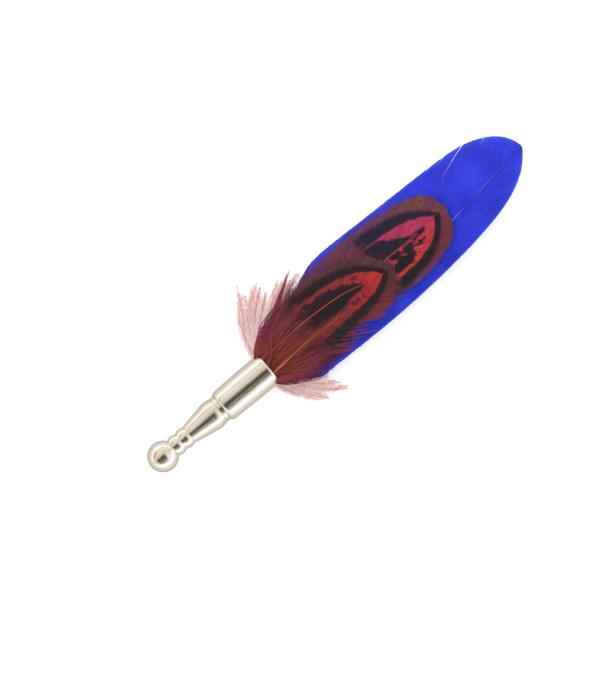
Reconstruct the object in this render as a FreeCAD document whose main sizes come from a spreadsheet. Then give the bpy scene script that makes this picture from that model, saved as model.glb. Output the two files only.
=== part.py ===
"""A quill pen: a plated barrel with a pull-off ball-ended cap, and a bundle of dyed feathers in its mouth.

Frame: +X runs along the pen from the ball to the feathers' tip, +Z up out of the feathers' face. The origin is
on the barrel's axis, in the middle of its cylindrical land. Lengths are in millimetres.
"""

import FreeCAD, Part
import math
import os
import re

import Sketcher
from FreeCAD import Placement, Rotation, Vector

# Driving dimensions. Stations named *_x are distances along X from the origin; the ball is on the -X side.
DIMENSIONS = {
    # barrel
    "land_half": 3.0,
    "land_radius": 4.7,
    "mouth_x": 3.5,
    "mouth_radius": 4.5,
    "cup_radius": 4.2,
    "cup_x": -5.0,
    "foot_x": -12.4,
    "foot_length": 1.3,
    "foot_radius": 3.75,
    "foot_top_radius": 4.5,
    "foot_round": 1.4,
    # ring between barrel and cap
    "neck_width": 1.1,
    "neck_radius": 3.85,
    "neck_bore": 2.45,
    "neck_edge": 0.15,
    # bush that guides the nose section
    "bush_radius": 3.2,
    "bush_bore": 2.3,
    "bush_web": 0.5,
    "bush_web_bore": 1.35,
    # nose section
    "spigot_radius": 2.25,
    "spigot_gap": 0.1,
    "collar_radius": 2.9,
    "collar_width": 0.8,
    "grip_radius": 2.62,
    "grip_length": 3.9,
    "ring_seat_radius": 2.28,
    "ring_seat_x": -16.3,
    "ring_wire": 0.2,
    "nose_x": -22.6,
    "nose_radius": 1.45,
    # refill
    "refill_bore": 1.2,
    "tube_radius": 1.175,
    "tube_bore": 0.78,
    "tube_front_x": -19.2,
    "tube_rear_x": 0.6,
    "ink_front_x": -17.4,
    "ink_rear_x": -1.5,
    "tip_radius": 1.1,
    "tip_shoulder_x": -22.9,
    "tip_lip_x": -24.75,
    "tip_lip_radius": 0.62,
    "tip_tail_x": -17.5,
    "tip_channel": 0.25,
    "ball_x": -24.6,
    "ball_radius": 0.5,
    "ball_clearance": 0.02,
    # cap
    "pear_length": 9.7,
    "pear_mouth_radius": 3.8,
    "pear_belly": 2.4,
    "pear_radius": 4.1,
    "pear_round": 7.0,
    "pear_small_radius": 2.75,
    "bead_width": 2.8,
    "bead_gap": 0.1,
    "bead_root": 2.5,
    "bead_round": 2.6,
    "cap_mouth_bore": 3.0,
    "cap_mouth_depth": 1.0,
    "cap_grip_bore": 2.7,
    "cap_grip_depth": 4.9,
    "cap_cone_depth": 9.4,
    "cap_bore": 1.7,
    "cap_depth": 12.5,
    "seal_radius": 1.65,
    "seal_thickness": 0.4,
    "stud_radius": 0.8,
    "stud_length": 1.6,
    "finial_radius": 4.2,
    "finial_offset": 3.3,
    # glue and thread in the barrel's cup
    "plug_x": 1.3,
    "thread_coil": 3.95,
    "thread_wire": 0.15,
    "thread_pitch": 0.45,
    "thread_span": 1.35,
    # feathers: what all of them share, then each one's reach from the barrel's mouth, half width and level
    "camber_radius": 45.0,
    "bend_radius": 1200.0,
    "vane_thickness": 0.4,
    "shell_margin": 1.1,
    "prism_height": 60.0,
    "quill_bore": 1.3,
    "quill_end_x": -4.4,
    "quill_depth": 9.5,
    "blue_reach": 90.15,
    "blue_half": 14.6,
    "blue_level": -0.6,
    "long_reach": 63.3,
    "long_half": 14.2,
    "long_level": 1.0,
    "short_reach": 42.6,
    "short_half": 12.5,
    "short_level": 2.2,
    "orange_reach": 27.0,
    "orange_half": 3.0,
    "orange_level": 3.3,
    "plum_reach": 19.5,
    "plum_half": 15.0,
    "plum_level": 3.3,
    "down_level": -2.0,
    "down_thickness": 0.9,
    "upper_down_reach": 23.0,
    "upper_down_half": 21.8,
    "lower_down_reach": 15.5,
    "lower_down_half": 17.7,
}

doc = FreeCAD.newDocument("QuillPen")
sheet = doc.addObject("Spreadsheet::Sheet", "dims")


def fill_sheet():
    """Write the driving dimensions into the spreadsheet, one aliased cell each."""
    for row, (alias, value) in enumerate(DIMENSIONS.items(), start=1):
        sheet.set(f"A{row}", alias)
        sheet.set(f"B{row}", str(value))
        sheet.setAlias(f"B{row}", alias)
    doc.recompute()


def cells(expression):
    """Turn bare alias words in an expression into references to the sheet."""
    return re.sub(r"[a-z_]+", lambda word: "dims." * (word[0] in DIMENSIONS) + word[0], expression)


def value_of(expression):
    """The number that an expression over the sheet gives."""
    result = sheet.evalExpression(cells(expression))
    return float(getattr(result, "Value", result))


def new_sketch(body, role, name):
    """A sketch in the body, attached to its own origin plane with this role."""
    plane = next(item for item in body.Origin.OriginFeatures if item.Role == role)
    sketch = body.newObject("Sketcher::SketchObject", name)
    sketch.AttachmentSupport = (plane, [""])
    sketch.MapMode = "FlatFace"
    return sketch


def bind_constraint(sketch, constraint, name, expression):
    """Add a dimensional constraint and bind it to an expression."""
    index = sketch.addConstraint(constraint)
    sketch.renameConstraint(index, name)
    sketch.setExpression("Constraints." + name, cells(expression))


def pin_point(sketch, name, geometry, vertex, across, up):
    """Hold a sketch point at the two distances from the sketch's origin."""
    for kind, expression in (("DistanceX", across), ("DistanceY", up)):
        constraint = Sketcher.Constraint(kind, -1, 1, geometry, vertex, value_of(expression))
        bind_constraint(sketch, constraint, f"{name}_{kind[-1]}", expression)


def arc_middle(start, end, radius, side):
    """Middle of an arc from start to end that bulges to the left (side 1) or right (side -1) of its chord."""
    chord = end - start
    rise = radius - math.sqrt(radius**2 - (chord.Length / 2) ** 2)
    normal = Vector(-chord.y, chord.x, 0).normalize()
    return (start + end) / 2 + normal * rise * side


def draw_profile(sketch, corners):
    """Draw a closed profile through corners (x, r), or (x, r, radius, side) where an arc leaves that corner."""
    points = [Vector(value_of(corner[0]), value_of(corner[1]), 0) for corner in corners]
    ends = []
    for index, corner in enumerate(corners):
        start = points[index]
        end = points[(index + 1) % len(points)]
        if len(corner) == 2:
            geometry = sketch.addGeometry(Part.LineSegment(start, end), False)
            ends.append((geometry, 1, 2))
            continue
        radius = value_of(corner[2])
        middle = arc_middle(start, end, radius, corner[3])
        geometry = sketch.addGeometry(Part.Arc(start, middle, end), False)
        first = 1 if sketch.getPoint(geometry, 1).distanceToPoint(start) < 1e-6 else 2
        ends.append((geometry, first, 3 - first))
        constraint = Sketcher.Constraint("Radius", geometry, radius)
        bind_constraint(sketch, constraint, f"round_{index}", corner[2])
    for index, (geometry, _, last) in enumerate(ends):
        following, first, _ = ends[(index + 1) % len(ends)]
        sketch.addConstraint(Sketcher.Constraint("Coincident", geometry, last, following, first))
    for index, (geometry, first, _) in enumerate(ends):
        pin_point(sketch, f"corner_{index}", geometry, first, corners[index][0], corners[index][1])


def turned(label, corners):
    """A body turned about the X axis from a closed profile of (x, r) corners."""
    body = doc.addObject("PartDesign::Body", label)
    sketch = new_sketch(body, "XY_Plane", label + "_profile")
    draw_profile(sketch, corners)
    turn = body.newObject("PartDesign::Revolution", label + "_turn")
    turn.Profile = sketch
    turn.ReferenceAxis = (sketch, ["H_Axis"])
    turn.Angle = 360
    return body


def barrel():
    """Barrel: round shoulder at the foot, slight taper, cylindrical land, and a cup for the feathers."""
    return turned(
        "barrel",
        [
            ("foot_x", "bush_radius"),
            ("cup_x", "bush_radius"),
            ("cup_x", "cup_radius"),
            ("mouth_x", "cup_radius"),
            ("mouth_x", "mouth_radius"),
            ("land_half", "land_radius"),
            ("0 - land_half", "land_radius"),
            ("foot_x + foot_length", "foot_top_radius", "foot_round", -1),
            ("foot_x", "foot_radius"),
        ],
    )


def neck_ring():
    """Thin ring with broken edges that separates barrel and cap."""
    front = "foot_x - neck_width"
    return turned(
        "neck_ring",
        [
            (front, "neck_bore"),
            ("foot_x", "neck_bore"),
            ("foot_x", "neck_radius - neck_edge"),
            ("foot_x - neck_edge", "neck_radius"),
            (front + " + neck_edge", "neck_radius"),
            (front, "neck_radius - neck_edge"),
        ],
    )


def guide_bush():
    """Bush pressed into the barrel; the nose section slides in it and stops at its web."""
    web = "cup_x - bush_web"
    return turned(
        "guide_bush",
        [
            ("foot_x", "bush_bore"),
            (web, "bush_bore"),
            (web, "bush_web_bore"),
            ("cup_x", "bush_web_bore"),
            ("cup_x", "bush_radius"),
            ("foot_x", "bush_radius"),
        ],
    )


def nose_section():
    """Nose: spigot in the bush, collar against the neck ring, grip for the cap, and a cone round the refill."""
    face = "foot_x - neck_width"
    spigot_end = "cup_x - bush_web - spigot_gap"
    collar_end = face + " - collar_width"
    return turned(
        "nose_section",
        [
            ("nose_x", "tip_radius"),
            ("tube_front_x", "tip_radius"),
            ("tube_front_x", "refill_bore"),
            (spigot_end, "refill_bore"),
            (spigot_end, "spigot_radius"),
            (face, "spigot_radius"),
            (face, "collar_radius"),
            (collar_end, "collar_radius"),
            (collar_end, "grip_radius"),
            ("ring_seat_x + ring_wire", "grip_radius"),
            ("ring_seat_x + ring_wire", "ring_seat_radius"),
            ("ring_seat_x - ring_wire", "ring_seat_radius"),
            ("ring_seat_x - ring_wire", "grip_radius"),
            (collar_end + " - grip_length", "grip_radius"),
            ("nose_x", "nose_radius"),
        ],
    )


def grip_ring():
    """Rubber ring in the nose's groove; the cap is held by it."""
    ring = doc.addObject("Part::Torus", "grip_ring")
    ring.setExpression("Radius1", cells("ring_seat_radius + ring_wire"))
    ring.setExpression("Radius2", cells("ring_wire"))
    ring.Placement = Placement(Vector(value_of("ring_seat_x"), 0, 0), Rotation(Vector(0, 1, 0), 90))
    ring.setExpression("Placement.Base.x", cells("ring_seat_x"))
    return ring


def ink_tube():
    """The refill's tube, open at its rear."""
    return turned(
        "ink_tube",
        [
            ("tube_front_x", "tube_bore"),
            ("tube_rear_x", "tube_bore"),
            ("tube_rear_x", "tube_radius"),
            ("tube_front_x", "tube_radius"),
        ],
    )


def ink_column():
    """The ink inside the tube."""
    return turned(
        "ink_column",
        [
            ("ink_front_x", "0"),
            ("ink_rear_x", "0"),
            ("ink_rear_x", "tube_bore"),
            ("ink_front_x", "tube_bore"),
        ],
    )


def tip_body():
    """Turned tip: a tail in the tube, a cone, and a socket that is closed in over the writing ball."""
    socket = "( ball_radius + ball_clearance )"
    lip = f"sqrt( {socket} ^ 2 - ( tip_lip_x - ball_x ) ^ 2 )"
    throat = f"ball_x + sqrt( {socket} ^ 2 - tip_channel ^ 2 )"
    return turned(
        "tip_body",
        [
            ("tip_lip_x", lip, socket, 1),
            (throat, "tip_channel"),
            ("tip_tail_x", "tip_channel"),
            ("tip_tail_x", "tube_bore"),
            ("tube_front_x", "tube_bore"),
            ("tube_front_x", "tip_radius"),
            ("tip_shoulder_x", "tip_radius"),
            ("tip_lip_x", "tip_lip_radius"),
        ],
    )


def tip_ball():
    """The writing ball."""
    ball = doc.addObject("Part::Sphere", "tip_ball")
    ball.setExpression("Radius", cells("ball_radius"))
    ball.setExpression("Placement.Base.x", cells("ball_x"))
    return ball


def cap_body():
    """Cap: pear-shaped swelling, two beads and, inside, a bore stepped to clear the nose and tip."""
    mouth = "foot_x - neck_width"
    pear_end = mouth + " - pear_length"
    second_bead = pear_end + " - bead_width - bead_gap"
    cap_end = second_bead + " - bead_width"
    stud_end = cap_end + " + stud_length"
    return turned(
        "cap_body",
        [
            (mouth, "cap_mouth_bore"),
            (mouth, "pear_mouth_radius", "pear_round", -1),
            (mouth + " - pear_belly", "pear_radius"),
            (pear_end, "pear_small_radius"),
            (pear_end, "bead_root"),
            (pear_end + " - bead_gap", "bead_root", "bead_round", -1),
            (second_bead, "bead_root"),
            (second_bead + " - bead_gap", "bead_root", "bead_round", -1),
            (cap_end, "bead_root"),
            (cap_end, "stud_radius"),
            (stud_end, "stud_radius"),
            (stud_end, "0"),
            (mouth + " - cap_depth", "0"),
            (mouth + " - cap_depth", "cap_bore"),
            (mouth + " - cap_cone_depth", "cap_bore"),
            (mouth + " - cap_grip_depth", "cap_grip_bore"),
            (mouth + " - cap_mouth_depth", "cap_grip_bore"),
            (mouth + " - cap_mouth_depth", "cap_mouth_bore"),
        ],
    )


def cap_seal():
    """Soft pad at the bottom of the cap's bore."""
    floor = "foot_x - neck_width - cap_depth"
    return turned(
        "cap_seal",
        [
            (floor, "0"),
            (floor + " + seal_thickness", "0"),
            (floor + " + seal_thickness", "seal_radius"),
            (floor, "seal_radius"),
        ],
    )


def finial_ball():
    """Ball with a flat seat on the last bead and a stud in the cap."""
    seat = "foot_x - neck_width - pear_length - 2 * bead_width - bead_gap"
    centre = f"( {seat} - finial_offset )"
    seat_radius = "sqrt( finial_radius ^ 2 - finial_offset ^ 2 )"
    return turned(
        "finial_ball",
        [
            (centre + " - finial_radius", "0", "finial_radius", 1),
            (centre, "finial_radius", "finial_radius", 1),
            (seat, seat_radius),
            (seat, "stud_radius"),
            (seat + " + stud_length", "stud_radius"),
            (seat + " + stud_length", "0"),
        ],
    )


def layer_height(level, across, along):
    """Height on a feather layer, which falls away to both sides and towards the tip."""
    return f"{level} - ( {across} ) ^ 2 / ( 2 * camber_radius ) - ( {along} ) ^ 2 / ( 2 * bend_radius )"


class Feather:
    """One feather: its sheet cells and the stations of its shaft.

    A station is (u, v, lift, radius): u and v are fractions of the reach along the pen and of the half width
    across it, lift is the height above the feather's layer and radius the shaft's, in millimetres.
    """

    def __init__(self, name, cell, level, stations):
        self.name = name
        self.reach = cell + "_reach"
        self.half = cell + "_half"
        self.level = level
        self.stations = stations

    def along(self, u):
        """Distance from the barrel's mouth."""
        return f"{self.reach} * {u}"

    def across(self, v):
        """Distance from the pen's axis."""
        return f"{self.half} * {v}"

    def point(self, u, v):
        """The two expressions of an outline point."""
        return f"mouth_x + {self.along(u)}", self.across(v)


def shaft(feather, suffix="_shaft"):
    """A feather's shaft: straight tapered lengths between a circle at each station."""
    label = feather.name + suffix
    body = doc.addObject("PartDesign::Body", label)
    sketches = []
    for index, (u, v, lift, radius) in enumerate(feather.stations):
        sketch = new_sketch(body, "YZ_Plane", f"{label}_{index}")
        offset = value_of(feather.point(u, v)[0])
        sketch.AttachmentOffset = Placement(Vector(0, 0, offset), Rotation())
        sketch.setExpression("AttachmentOffset.Base.z", cells(feather.point(u, v)[0]))
        height = f"{lift} + " + layer_height(feather.level, feather.across(v), feather.along(u))
        centre = Vector(value_of(feather.across(v)), value_of(height), 0)
        circle = sketch.addGeometry(Part.Circle(centre, Vector(0, 0, 1), radius), False)
        bind_constraint(sketch, Sketcher.Constraint("Radius", circle, radius), "radius", f"{radius}")
        pin_point(sketch, "centre", circle, 3, feather.across(v), height)
        sketches.append(sketch)
    loft = body.newObject("PartDesign::AdditiveLoft", label + "_loft")
    loft.Profile = sketches[0]
    loft.Sections = sketches[1:]
    loft.Ruled = True
    return body


def camber_shell(name, level, half, reach, thickness):
    """A thin doubly curved shell on a feather layer, arched across the pen and bent down along it."""
    middle = f"( camber_radius + {level} )"
    width = f"( shell_margin * {half} )"
    top = f"( {middle} + {thickness} / 2 )"
    underside = f"( {middle} - {thickness} / 2 )"
    top_edge = f"sqrt( {top} ^ 2 - {width} ^ 2 ) - camber_radius"
    underside_edge = f"sqrt( {underside} ^ 2 - {width} ^ 2 ) - camber_radius"
    body = doc.addObject("PartDesign::Body", name + "_camber")
    sketch = new_sketch(body, "YZ_Plane", name + "_camber_section")
    corners = [
        (f"0 - {width}", top_edge, top, 1),
        (width, top_edge),
        (width, underside_edge, underside, -1),
        (f"0 - {width}", underside_edge),
    ]
    draw_profile(sketch, corners)
    depth = -value_of("bend_radius")
    axis = sketch.addGeometry(Part.LineSegment(Vector(0, depth, 0), Vector(1, depth, 0)), True)
    sketch.addConstraint(Sketcher.Constraint("Horizontal", axis))
    pin_point(sketch, "bend", axis, 1, "0", "0 - bend_radius")
    sketch.addConstraint(Sketcher.Constraint("DistanceX", axis, 1, axis, 2, 1.0))
    turn = body.newObject("PartDesign::Revolution", name + "_camber_turn")
    turn.Profile = sketch
    turn.ReferenceAxis = (sketch, ["Axis0"])
    turn.setExpression("Angle", cells(f"shell_margin * {reach} / bend_radius * 180 / pi"))
    body.setExpression("Placement.Base.x", cells("mouth_x"))
    return body


def outline_prism(name, edge, back):
    """A tall prism over an outline: a smooth edge drawn by control points, closed by straight stretches."""
    body = doc.addObject("PartDesign::Body", name + "_outline")
    sketch = new_sketch(body, "XY_Plane", name + "_outline_sketch")
    poles = [Vector(value_of(x), value_of(y), 0) for x, y in edge]
    curve = Part.BSplineCurve()
    curve.buildFromPoles(poles, False, 3)
    spline = sketch.addGeometry(curve, False)
    sketch.exposeInternalGeometry(spline)
    for index, (x, y) in enumerate(edge):
        pin_point(sketch, f"pole_{index}", spline + 1 + index, 3, x, y)
    points = [edge[-1], *back, edge[0]]
    previous = (spline, 2)
    for index in range(len(points) - 1):
        start, end = (Vector(value_of(x), value_of(y), 0) for x, y in points[index : index + 2])
        line = sketch.addGeometry(Part.LineSegment(start, end), False)
        sketch.addConstraint(Sketcher.Constraint("Coincident", *previous, line, 1))
        if index < len(points) - 2:
            pin_point(sketch, f"back_{index}", line, 2, *points[index + 1])
        previous = (line, 2)
    sketch.addConstraint(Sketcher.Constraint("Coincident", *previous, spline, 1))
    pad = body.newObject("PartDesign::Pad", name + "_pad")
    pad.Profile = sketch
    pad.setExpression("Length", cells("prism_height"))
    pad.Midplane = True
    return body


def joined(kind, label, **links):
    """A Part boolean with its operands set."""
    result = doc.addObject(kind, label)
    for link, target in links.items():
        setattr(result, link, target)
    return result


def vane(feather, shaft_body, shell, side, first, edge):
    """One vane: the outline between shaft and edge, taken out of the shell, with the shaft's room cut out."""
    name = f"{feather.name}_vane_{side}"
    start = feather.point(*feather.stations[first][:2])
    tip = feather.point(*feather.stations[-1][:2])
    rim = [start] + [feather.point(u, v) for u, v in edge] + [tip]
    back = [feather.point(u, v) for u, v, _, _ in reversed(feather.stations[first + 1 : -1])]
    prism = outline_prism(name, rim, back)
    blank = joined("Part::Common", name + "_blank", Base=prism, Tool=shell)
    return joined("Part::Cut", name, Base=blank, Tool=shaft_body)


def feather_pieces(feather, body, first, left_edge, right_edge):
    """A whole feather: its shaft and two vanes that start at the station numbered first."""
    shell = camber_shell(feather.name, feather.level, feather.half, feather.reach, "vane_thickness")
    left = vane(feather, body, shell, "left", first, left_edge)
    right = vane(feather, body, shell, "right", first, right_edge)
    return [body, left, right]


def bored_quill(solid):
    """The blue feather's shaft with its quill bored out for the refill's rear end."""
    hollow = doc.addObject("Part::Cylinder", "quill_hollow")
    hollow.setExpression("Radius", cells("quill_bore"))
    hollow.setExpression("Height", cells("quill_depth"))
    hollow.Placement = Placement(Vector(value_of("quill_end_x"), 0, 0), Rotation(Vector(0, 1, 0), 90))
    hollow.setExpression("Placement.Base.x", cells("quill_end_x"))
    return joined("Part::Cut", "blue_shaft", Base=solid, Tool=hollow)


def blue_feather():
    """The large feather at the back."""
    feather = Feather(
        "blue",
        "blue",
        "blue_level",
        [
            (-0.0876, 0, 0.6, 1.7),
            (-0.03, 0, 0.6, 1.7),
            (0.03, -0.01, 0.5, 1.55),
            (0.11, -0.07, 0, 1.1),
            (0.25, -0.125, 0, 0.85),
            (0.45, -0.145, 0, 0.65),
            (0.65, -0.099, 0, 0.5),
            (0.75, -0.041, 0, 0.42),
            (0.83, 0.02, 0, 0.36),
            (0.91, 0.095, 0, 0.3),
            (0.96, 0.14, 0, 0.26),
            (1, 0.147, 0, 0.22),
        ],
    )
    left = [
        (0.13, 0.4),
        (0.2, 0.84),
        (0.31, 1.01),
        (0.45, 0.97),
        (0.62, 0.945),
        (0.78, 0.92),
        (0.905, 0.86),
        (0.99, 0.5),
    ]
    right = [
        (0.09, -0.45),
        (0.12, -0.74),
        (0.22, -0.745),
        (0.4, -0.775),
        (0.6, -0.715),
        (0.75, -0.61),
        (0.88, -0.46),
        (0.965, -0.17),
    ]
    return feather_pieces(feather, bored_quill(shaft(feather, "_solid_shaft")), 3, left, right)


def long_pheasant():
    """The longer of the two barred feathers, just above the blue one."""
    feather = Feather(
        "long_pheasant",
        "long",
        "long_level",
        [
            (-0.109, 0.085, 1.5, 0.55),
            (-0.03, 0.085, 1.5, 0.55),
            (0.05, 0.1, 0.6, 0.52),
            (0.142, 0.13, 0, 0.5),
            (0.5, 0.145, 0, 0.4),
            (0.8, 0.17, 0, 0.3),
            (1, 0.21, 0, 0.22),
        ],
    )
    return feather_pieces(
        feather,
        shaft(feather),
        3,
        [(0.15, 0.55), (0.26, 0.9), (0.46, 1.01), (0.7, 0.99), (0.87, 0.92), (0.975, 0.72), (1.0, 0.4)],
        [(0.14, -0.3), (0.26, -0.62), (0.55, -0.67), (0.76, -0.58), (0.92, -0.47), (1, -0.22)],
    )


def short_pheasant():
    """The shorter barred feather, on top of the longer one."""
    feather = Feather(
        "short_pheasant",
        "short",
        "short_level",
        [
            (-0.162, 0.232, -0.5, 0.45),
            (-0.04, 0.232, -0.5, 0.45),
            (0.07, 0.24, -0.1, 0.43),
            (0.16, 0.246, 0, 0.42),
            (0.4, 0.26, 0, 0.38),
            (0.65, 0.19, 0, 0.34),
            (0.88, 0.0, 0, 0.28),
            (1, -0.064, 0, 0.22),
        ],
    )
    return feather_pieces(
        feather,
        shaft(feather),
        3,
        [(0.18, 0.6), (0.35, 1.0), (0.6, 1.02), (0.85, 0.75), (0.99, 0.25)],
        [(0.14, -0.45), (0.27, -0.92), (0.5, -0.96), (0.76, -0.92), (0.88, -0.6), (0.97, -0.3)],
    )


def orange_hackle():
    """The narrow orange feather on top of the bundle."""
    feather = Feather(
        "orange_hackle",
        "orange",
        "orange_level",
        [
            (-0.256, -0.633, -0.65, 0.32),
            (-0.08, -0.633, -0.65, 0.32),
            (0.11, -0.55, 0, 0.3),
            (0.4, -0.39, 0, 0.28),
            (0.7, -0.43, 0, 0.25),
            (1, -0.65, 0, 0.22),
        ],
    )
    return feather_pieces(
        feather,
        shaft(feather),
        2,
        [(0.18, 0.3), (0.45, 0.6), (0.75, 0.35), (0.97, -0.25)],
        [(0.18, -1.45), (0.45, -1.55), (0.75, -1.4), (0.97, -1.1)],
    )


def plum_hackle():
    """The small dark feather that curves out to the left of the bundle."""
    feather = Feather(
        "plum_hackle",
        "plum",
        "plum_level",
        [
            (-0.354, 0.013, 0.15, 0.26),
            (-0.11, 0.013, 0.15, 0.26),
            (0.09, 0.1, 0.1, 0.25),
            (0.3, 0.38, 0, 0.24),
            (0.6, 0.62, 0, 0.23),
            (1, 0.95, 0, 0.22),
        ],
    )
    return feather_pieces(
        feather,
        shaft(feather),
        3,
        [(0.3, 0.62), (0.55, 0.8), (0.85, 0.98)],
        [(0.45, 0.3), (0.7, 0.5), (0.95, 0.8)],
    )


def down_tuft(name, stations, edge):
    """A soft tuft as one thin plate over its shaft, which ends inside it."""
    feather = Feather(name, name, "down_level", stations)
    body = shaft(feather)
    shell = camber_shell(name, feather.level, feather.half, feather.reach, "down_thickness")
    prism = outline_prism(name, [feather.point(u, v) for u, v in edge], [])
    blank = joined("Part::Common", name + "_blank", Base=prism, Tool=shell)
    return [body, joined("Part::Cut", name + "_tuft", Base=blank, Tool=body)]


def upper_down():
    """Pale down on the left of the mouth, behind the other feathers."""
    return down_tuft(
        "upper_down",
        [
            (-0.3, 0.078, -0.7, 0.26),
            (-0.05, 0.078, -0.7, 0.26),
            (0.09, 0.2, 0, 0.25),
            (0.25, 0.5, 0, 0.24),
            (0.4, 0.8, 0, 0.2),
        ],
        [(0.03, 0.13), (0.03, 0.45), (0.14, 0.8), (0.32, 1.1), (0.6, 0.9), (1, 0.75), (0.85, 0.4), (0.3, 0.15)],
    )


def lower_down():
    """Pale down on the right of the mouth, behind the other feathers."""
    return down_tuft(
        "lower_down",
        [
            (-0.445, -0.096, -0.7, 0.26),
            (-0.07, -0.096, -0.7, 0.26),
            (0.13, -0.24, 0, 0.25),
            (0.42, -0.54, 0, 0.24),
            (0.7, -0.8, 0, 0.2),
        ],
        [(0.05, -0.16), (0.06, -0.5), (0.22, -0.8), (0.7, -1.15), (0.98, -0.85), (0.95, -0.5), (0.4, -0.2)],
    )


def potting_plug(shafts):
    """Glue in the barrel's cup, round the shafts; the hollow quill keeps its middle open."""
    blank = turned(
        "potting_plug_blank",
        [
            ("cup_x", "quill_bore"),
            ("plug_x", "quill_bore"),
            ("plug_x", "cup_radius"),
            ("cup_x", "cup_radius"),
        ],
    )
    bundle = joined("Part::MultiFuse", "shaft_bundle", Shapes=shafts)
    return joined("Part::Cut", "potting_plug", Base=blank, Tool=bundle)


def binding_thread():
    """Thread wound round the shafts between the glue and the barrel's mouth."""
    body = doc.addObject("PartDesign::Body", "binding_thread")
    sketch = new_sketch(body, "XY_Plane", "binding_thread_wire")
    centre = Vector(value_of("plug_x + 2 * thread_wire"), value_of("thread_coil"), 0)
    wire = sketch.addGeometry(Part.Circle(centre, Vector(0, 0, 1), value_of("thread_wire")), False)
    constraint = Sketcher.Constraint("Radius", wire, value_of("thread_wire"))
    bind_constraint(sketch, constraint, "radius", "thread_wire")
    pin_point(sketch, "centre", wire, 3, "plug_x + 2 * thread_wire", "thread_coil")
    coil = body.newObject("PartDesign::AdditiveHelix", "binding_thread_coil")
    coil.Profile = sketch
    coil.ReferenceAxis = (sketch, ["H_Axis"])
    coil.Mode = 0
    coil.setExpression("Pitch", cells("thread_pitch"))
    coil.setExpression("Height", cells("thread_span"))
    return body


def check(nodes):
    """Stop if any object failed, or if a sub-part has no valid solid."""
    for item in doc.Objects:
        failed = {"Invalid", "Error"} & set(item.State)
        if failed:
            raise RuntimeError(f"{item.Label}: {sorted(failed)}")
    for node in nodes:
        shape = node.Shape
        if shape.isNull() or not shape.isValid() or len(shape.Solids) != 1:
            raise RuntimeError(f"{node.Label}: {shape.ShapeType}, {len(shape.Solids)} solids")


def main():
    """Build every sub-part and write one STEP file for each."""
    fill_sheet()
    metal = [
        barrel(),
        neck_ring(),
        guide_bush(),
        nose_section(),
        grip_ring(),
        ink_tube(),
        ink_column(),
        tip_body(),
        tip_ball(),
        cap_body(),
        cap_seal(),
        finial_ball(),
    ]
    feathers = [
        blue_feather(),
        long_pheasant(),
        short_pheasant(),
        orange_hackle(),
        plum_hackle(),
        upper_down(),
        lower_down(),
    ]
    shafts = [pieces[0] for pieces in feathers]
    nodes = metal + [piece for pieces in feathers for piece in pieces]
    nodes += [potting_plug(shafts), binding_thread()]
    doc.recompute()
    check(nodes)
    os.makedirs("parts", exist_ok=True)
    for node in nodes:
        node.Shape.exportStep(f"parts/{node.Label}.step")


main()
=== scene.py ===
"""Looks of the quill pen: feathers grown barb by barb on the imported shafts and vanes, down, and plated metal.

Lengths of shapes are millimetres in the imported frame; mesh_object() turns them into metres. A feather's
markings are drawn from the distance back from its tip and the distance across from its shaft.
"""

import math
from dataclasses import dataclass
from functools import partial

import bpy
import numpy as np
from mathutils import Matrix, Vector
from mathutils.bvhtree import BVHTree


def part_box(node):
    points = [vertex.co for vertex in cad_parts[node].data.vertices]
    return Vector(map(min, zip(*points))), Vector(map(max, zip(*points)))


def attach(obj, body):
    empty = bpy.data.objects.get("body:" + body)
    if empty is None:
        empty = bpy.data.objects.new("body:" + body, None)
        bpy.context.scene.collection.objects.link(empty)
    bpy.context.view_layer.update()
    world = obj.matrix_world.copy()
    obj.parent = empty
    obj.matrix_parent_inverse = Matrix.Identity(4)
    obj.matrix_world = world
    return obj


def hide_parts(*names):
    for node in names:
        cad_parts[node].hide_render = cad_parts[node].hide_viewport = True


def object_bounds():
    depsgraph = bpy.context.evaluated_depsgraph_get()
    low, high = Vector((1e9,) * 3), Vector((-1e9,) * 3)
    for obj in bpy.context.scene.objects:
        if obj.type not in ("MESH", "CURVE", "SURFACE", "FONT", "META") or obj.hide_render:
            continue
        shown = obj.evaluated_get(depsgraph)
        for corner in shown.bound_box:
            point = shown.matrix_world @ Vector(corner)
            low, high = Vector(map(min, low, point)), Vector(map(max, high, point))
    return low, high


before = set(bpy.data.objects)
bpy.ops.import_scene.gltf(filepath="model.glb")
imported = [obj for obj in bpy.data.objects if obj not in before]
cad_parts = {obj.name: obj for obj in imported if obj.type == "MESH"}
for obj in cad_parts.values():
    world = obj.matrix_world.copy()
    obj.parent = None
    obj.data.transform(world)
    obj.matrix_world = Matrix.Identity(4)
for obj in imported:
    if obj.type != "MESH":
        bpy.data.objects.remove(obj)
cad_low, cad_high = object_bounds()

MM = 0.001
FEATHER_BODY = "feathered_barrel"
MOUTH_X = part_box("barrel")[1].x / MM
MOUTH_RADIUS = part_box("potting_plug")[1].y / MM

# Cross-sections of a strand as (across, up) factors of its half width and half height.
BARB_SECTION = ((1, 0), (0, 1), (-1, 0), (0, -1))
HAIR_SECTION = ((1, 0), (-0.5, 0.87), (-0.5, -0.87))


# ---------------- numbers and colours


def colour(red, green, blue):
    """A display colour, 0 to 255, as linear light."""
    channels = np.array((red, green, blue)) / 255
    return np.where(channels <= 0.04045, channels / 12.92, ((channels + 0.055) / 1.055) ** 2.4)


def step_up(low, high, value):
    """0 below low, 1 above high and a smooth rise between them."""
    share = np.clip((value - low) / (high - low), 0, 1)
    return share * share * (3 - 2 * share)


def unit(vectors):
    """Vectors along the last axis, brought to length 1."""
    return vectors / (np.linalg.norm(vectors, axis=-1, keepdims=True) + 1e-9)


def blended(first, second, share):
    """Colours or places between first and second; share is an array of 0 to 1."""
    return first + (second - first) * share[..., None]


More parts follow.
